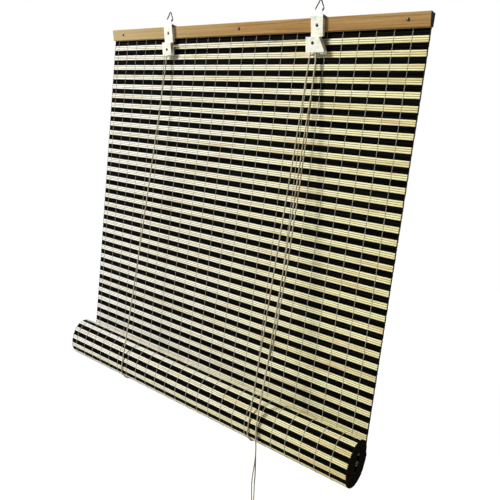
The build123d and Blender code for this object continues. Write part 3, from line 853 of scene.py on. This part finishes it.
def end_tree(tree, instances, finish):
    """Make a tree's instances real, give them their finish and put them out of the tree."""
    real = add_node(tree, "GeometryNodeRealizeInstances", {"Geometry": instances})
    finished = add_node(
        tree,
        "GeometryNodeSetMaterial",
        {"Geometry": real.outputs["Geometry"], "Material": finish},
    )
    add_node(tree, "NodeGroupOutput", {"Geometry": finished.outputs["Geometry"]})


def splint_tree():
    """Geometry nodes: one splint with rounded edges across the mat at every point of the path."""
    tree, given = new_tree(
        "splints along a path",
        sizes=("Length", "Width", "Thickness", "Edge radius"),
        counts=("Segments", "Band", "Seed"),
    )
    half = add_node(
        tree, "ShaderNodeMath", {0: given.outputs["Length"], 1: 0.5}, operation="MULTIPLY"
    )
    minus = add_node(tree, "ShaderNodeMath", {0: half.outputs[0], 1: -1.0}, operation="MULTIPLY")
    left_end = add_node(tree, "ShaderNodeCombineXYZ", {"X": minus.outputs[0]})
    right_end = add_node(tree, "ShaderNodeCombineXYZ", {"X": half.outputs[0]})
    core = add_node(
        tree,
        "GeometryNodeCurvePrimitiveLine",
        {"Start": left_end.outputs["Vector"], "End": right_end.outputs["Vector"]},
    )
    divided = add_node(
        tree,
        "GeometryNodeResampleCurve",
        {"Curve": core.outputs["Curve"], "Count": given.outputs["Segments"]},
    )
    # how far along from its middle each point of the splint is, from 0 to 1 at either end
    along = add_node(tree, "GeometryNodeSplineParameter")
    signed = add_node(
        tree,
        "ShaderNodeMath",
        {0: along.outputs["Factor"], 1: 2.0, 2: -1.0},
        operation="MULTIPLY_ADD",
    )
    reach = add_node(tree, "ShaderNodeMath", {0: signed.outputs[0]}, operation="ABSOLUTE")
    measured = add_node(
        tree,
        "GeometryNodeStoreNamedAttribute",
        {"Geometry": divided.outputs["Curve"], "Name": "reach", "Value": reach.outputs[0]},
        domain="POINT",
    )
    section = add_node(
        tree,
        "GeometryNodeCurvePrimitiveQuadrilateral",
        {"Width": given.outputs["Thickness"], "Height": given.outputs["Width"]},
    )
    rounded = add_node(
        tree,
        "GeometryNodeFilletCurve",
        {
            "Curve": section.outputs["Curve"],
            "Count": 2,
            "Radius": given.outputs["Edge radius"],
            "Limit Radius": True,
        },
        mode="POLY",
    )
    # how near each point of the section is to the next splint, from 0 to 1; the bamboo colours the
    # points nearest the joint as dirt and painted shade
    point = add_node(tree, "GeometryNodeInputPosition")
    parts = add_node(tree, "ShaderNodeSeparateXYZ", {"Vector": point.outputs["Position"]})
    off_centre = add_node(tree, "ShaderNodeMath", {0: parts.outputs["Y"]}, operation="ABSOLUTE")
    share = add_node(
        tree,
        "ShaderNodeMath",
        {0: off_centre.outputs[0], 1: given.outputs["Width"]},
        operation="DIVIDE",
    )
    nearness = add_node(
        tree, "ShaderNodeMath", {0: share.outputs[0], 1: 2.0}, operation="MULTIPLY"
    )
    marked = add_node(
        tree,
        "GeometryNodeStoreNamedAttribute",
        {"Geometry": rounded.outputs["Curve"], "Name": "joint", "Value": nearness.outputs[0]},
        domain="POINT",
    )
    splint = add_node(
        tree,
        "GeometryNodeCurveToMesh",
        {
            "Curve": measured.outputs["Geometry"],
            "Profile Curve": marked.outputs["Geometry"],
            "Fill Caps": True,
        },
    )
    tangent = add_node(tree, "GeometryNodeInputTangent")
    facing = add_node(
        tree,
        "FunctionNodeAlignRotationToVector",
        {"Vector": tangent.outputs["Tangent"]},
        axis="Z",
        pivot_axis="X",
    )
    # no two splints are quite as long or as thick
    unlike = add_node(
        tree,
        "FunctionNodeRandomValue",
        {0: (0.9985, 0.93, 1.0), 1: (1.0, 1.0, 1.0), "Seed": given.outputs["Seed"]},
        data_type="FLOAT_VECTOR",
    )
    placed = add_node(
        tree,
        "GeometryNodeInstanceOnPoints",
        {
            "Points": given.outputs["Path"],
            "Instance": splint.outputs["Mesh"],
            "Rotation": facing.outputs["Rotation"],
            "Scale": unlike.outputs[0],
        },
    )
    # bands of stained splints and natural ones by turns
    index = add_node(tree, "GeometryNodeInputIndex")
    both_bands = add_node(
        tree, "ShaderNodeMath", {0: given.outputs["Band"], 1: 2.0}, operation="MULTIPLY"
    )
    in_band = add_node(
        tree,
        "ShaderNodeMath",
        {0: index.outputs["Index"], 1: both_bands.outputs[0]},
        operation="FLOORED_MODULO",
    )
    stained = add_node(
        tree,
        "ShaderNodeMath",
        {0: in_band.outputs[0], 1: given.outputs["Band"]},
        operation="LESS_THAN",
    )
    with_stain = add_node(
        tree,
        "GeometryNodeStoreNamedAttribute",
        {"Geometry": placed.outputs["Instances"], "Name": "stain", "Value": stained.outputs[0]},
        domain="INSTANCE",
    )
    tone = add_node(
        tree, "FunctionNodeRandomValue", {2: 0.0, 3: 0.3, "Seed": given.outputs["Seed"]}
    )
    with_tone = add_node(
        tree,
        "GeometryNodeStoreNamedAttribute",
        {"Geometry": with_stain.outputs["Geometry"], "Name": "tone", "Value": tone.outputs[1]},
        domain="INSTANCE",
    )
    end_tree(tree, with_tone.outputs["Geometry"], given.outputs["Finish"])
    return tree


def thread_tree():
    """Geometry nodes: pairs of warp threads that pass round every splint, side by side."""
    tree, given = new_tree(
        "threads round the splints",
        sizes=("Spacing", "First", "Swing", "Width", "Thickness"),
        counts=("Count",),
    )
    # two points for each splint, in front of it or behind it by turns
    index = add_node(tree, "GeometryNodeInputIndex")
    halved = add_node(
        tree, "ShaderNodeMath", {0: index.outputs["Index"], 1: 0.5}, operation="MULTIPLY"
    )
    splint = add_node(tree, "ShaderNodeMath", {0: halved.outputs[0]}, operation="FLOOR")
    odd = add_node(tree, "ShaderNodeMath", {0: splint.outputs[0], 1: 2.0}, operation="MODULO")
    side = add_node(
        tree, "ShaderNodeMath", {0: odd.outputs[0], 1: 2.0, 2: -1.0}, operation="MULTIPLY_ADD"
    )
    tangent = add_node(tree, "GeometryNodeInputTangent")
    across = add_node(
        tree,
        "ShaderNodeVectorMath",
        {0: tangent.outputs["Tangent"], 1: (1.0, 0.0, 0.0)},
        operation="CROSS_PRODUCT",
    )
    reach = add_node(
        tree,
        "ShaderNodeMath",
        {0: side.outputs[0], 1: given.outputs["Swing"]},
        operation="MULTIPLY",
    )
    pair = add_node(tree, "GeometryNodeJoinGeometry")
    for way in (1.0, -1.0):
        swing = add_node(
            tree, "ShaderNodeMath", {0: reach.outputs[0], 1: way}, operation="MULTIPLY"
        )
        shift = add_node(
            tree,
            "ShaderNodeVectorMath",
            {0: across.outputs["Vector"], "Scale": swing.outputs[0]},
            operation="SCALE",
        )
        strand = add_node(
            tree,
            "GeometryNodeSetPosition",
            {"Geometry": given.outputs["Path"], "Offset": shift.outputs["Vector"]},
        )
        tree.links.new(strand.outputs["Geometry"], pair.inputs["Geometry"])
    ring = add_node(tree, "GeometryNodeCurvePrimitiveCircle", {"Resolution": 4, "Radius": 0.5})
    flatness = add_node(
        tree,
        "ShaderNodeCombineXYZ",
        {"X": given.outputs["Width"], "Y": given.outputs["Thickness"], "Z": 1.0},
    )
    section = add_node(
        tree,
        "GeometryNodeTransform",
        {"Geometry": ring.outputs["Curve"], "Scale": flatness.outputs["Vector"]},
    )
    tubes = add_node(
        tree,
        "GeometryNodeCurveToMesh",
        {
            "Curve": pair.outputs["Geometry"],
            "Profile Curve": section.outputs["Geometry"],
            "Fill Caps": True,
        },
    )
    start = add_node(tree, "ShaderNodeCombineXYZ", {"X": given.outputs["First"]})
    step = add_node(tree, "ShaderNodeCombineXYZ", {"X": given.outputs["Spacing"]})
    row = add_node(
        tree,
        "GeometryNodeMeshLine",
        {
            "Count": given.outputs["Count"],
            "Start Location": start.outputs["Vector"],
            "Offset": step.outputs["Vector"],
        },
    )
    placed = add_node(
        tree,
        "GeometryNodeInstanceOnPoints",
        {"Points": row.outputs["Mesh"], "Instance": tubes.outputs["Mesh"]},
    )
    end_tree(tree, placed.outputs["Instances"], given.outputs["Finish"])
    return tree


def grown(name, path, tree, settings):
    """Run a tree on a path and keep the result as a plain mesh piece."""
    modifier = path.modifiers.new("grow", "NODES")
    modifier.node_group = tree
    for item in tree.interface.items_tree:
        if item.in_out == "INPUT" and item.name in settings:
            modifier[item.identifier] = settings[item.name]
    evaluated = path.evaluated_get(bpy.context.evaluated_depsgraph_get())
    mesh = bpy.data.meshes.new_from_object(evaluated)
    mesh.name = name
    path.modifiers.remove(modifier)
    bpy.data.objects.remove(path)
    piece = link(bpy.data.objects.new(name, mesh))
    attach(piece, BODY)
    return piece


splints = splint_tree()
splint_settings = {
    "Thickness": SPLINT_THICKNESS * MM,
    "Edge radius": SPLINT_EDGE * MM,
    "Band": SPLINTS_PER_BAND,
    "Finish": splint_finish,
}
hanging_settings = splint_settings | {
    "Length": MAT_WIDTH * MM,
    "Width": SPLINT_PITCH * MM,
    "Segments": 7,
    "Seed": 3,
}
hanging_mat = grown(
    "hanging_splints", path_curve("hanging_path", hanging_places), splints, hanging_settings
)
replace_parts(hanging_mat, "mat_hanging")
rolled_settings = splint_settings | {
    "Length": (MAT_WIDTH + 2 * ROLL_SPREAD) * MM,
    "Width": WOUND_SPLINT_WIDTH * MM,
    "Segments": 5,
    "Seed": 8,
}
rolled_mat = grown(
    "rolled_splints", path_curve("roll_path", roll_places), splints, rolled_settings
)
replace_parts(rolled_mat, "mat_roll")

threads = thread_tree()
thread_settings = {
    "Count": THREAD_COUNT,
    "Spacing": THREAD_SPACING * MM,
    "First": FIRST_THREAD_X * MM,
    "Swing": THREAD_SWING * MM,
    "Width": THREAD_WIDTH * MM,
    "Thickness": THREAD_THICKNESS * MM,
    "Finish": thread_finish,
}
on_splint = THREAD_BEND * SPLINT_PITCH
hanging_line = [(y, z + side * on_splint) for y, z in hanging_places for side in (1, -1)]
hanging_threads = grown(
    "hanging_threads", path_curve("thread_path", hanging_line), threads, thread_settings
)
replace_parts(hanging_threads, "warp_threads")
outer_turn = roll_places[:THREADED_SPLINTS]
roll_thread_line = []
for (y0, z0), (y1, z1) in zip(outer_turn, outer_turn[1:]):
    for share in (-THREAD_BEND, THREAD_BEND):
        roll_thread_line.append((y0 + (y1 - y0) * share, z0 + (z1 - z0) * share))
grown(
    "roll_threads",
    path_curve("roll_thread_path", roll_thread_line),
    threads,
    thread_settings,
)


# Stage: pale floor, white surroundings and soft light
def stage_floor():
    """A pale floor well below the blind. It keeps the shadow and turns white further out."""
    mesh = bpy.data.meshes.new("floor")
    corners = [
        (x * FLOOR_HALF_SIZE, y * FLOOR_HALF_SIZE, FLOOR_Z)
        for x, y in ((-1, -1), (1, -1), (1, 1), (-1, 1))
    ]
    mesh.from_pydata(corners, [], [(0, 1, 2, 3)])
    floor = link(bpy.data.objects.new("floor", mesh))
    material = bpy.data.materials.new("pale floor")
    material.use_nodes = True
    tree = material.node_tree
    tree.nodes.clear()
    place = add_node(tree, "ShaderNodeTexCoord")
    away = add_node(
        tree,
        "ShaderNodeVectorMath",
        {0: place.outputs["Object"], 1: (0.0, 0.0, FLOOR_Z)},
        operation="DISTANCE",
    )
    whiteness = add_node(
        tree,
        "ShaderNodeMapRange",
        {
            "Value": away.outputs["Value"],
            "From Min": FLOOR_PALE_FROM,
            "From Max": FLOOR_WHITE_FROM,
            "To Min": 0.85,
        },
    )
    rays = add_node(tree, "ShaderNodeLightPath")
    seen = add_node(
        tree,
        "ShaderNodeMath",
        {0: rays.outputs["Is Camera Ray"], 1: whiteness.outputs["Result"]},
        operation="MULTIPLY",
    )
    matt = add_node(tree, "ShaderNodeBsdfDiffuse", {"Color": linear("F4F3F0")})
    white = add_node(tree, "ShaderNodeEmission", {"Color": (1, 1, 1, 1), "Strength": 1.1})
    mixed = add_node(
        tree,
        "ShaderNodeMixShader",
        {0: seen.outputs[0], 1: matt.outputs["BSDF"], 2: white.outputs["Emission"]},
    )
    add_node(tree, "ShaderNodeOutputMaterial", {"Surface": mixed.outputs["Shader"]})
    mesh.materials.append(material)


def soft_lamp(name, place, size, power):
    """A square area lamp that points at the middle of the mat, in metres and watts."""
    data = bpy.data.lights.new(name, "AREA")
    data.size = size
    data.energy = power
    lamp = link(bpy.data.objects.new(name, data))
    lamp.location = place
    aim = Vector(LAMPS_AIM) - Vector(place)
    lamp.rotation_euler = aim.to_track_quat("-Z", "Y").to_euler()


def surroundings():
    """White for the camera and in reflections, a dim even light on the object."""
    world = bpy.data.worlds.new("studio")
    bpy.context.scene.world = world
    world.use_nodes = True
    tree = world.node_tree
    tree.nodes.clear()
    rays = add_node(tree, "ShaderNodeLightPath")
    seen = add_node(
        tree,
        "ShaderNodeMath",
        {0: rays.outputs["Is Camera Ray"], 1: rays.outputs["Is Glossy Ray"]},
        operation="MAXIMUM",
    )
    through = add_node(
        tree,
        "ShaderNodeMath",
        {0: seen.outputs[0], 1: rays.outputs["Is Transmission Ray"]},
        operation="MAXIMUM",
    )
    strength = add_node(
        tree,
        "ShaderNodeMapRange",
        {"Value": through.outputs[0], "To Min": 0.05, "To Max": 1.0},
    )
    light = add_node(
        tree,
        "ShaderNodeBackground",
        {"Color": (1, 1, 1, 1), "Strength": strength.outputs["Result"]},
    )
    add_node(tree, "ShaderNodeOutputWorld", {"Surface": light.outputs["Background"]})


stage_floor()
surroundings()
soft_lamp("key", place=(-2.45, -2.45, 1.7), size=1.0, power=216)
soft_lamp("back", place=(-1.0, 3.0, 0.8), size=1.2, power=110)

bpy.context.scene.view_settings.view_transform = "Standard"
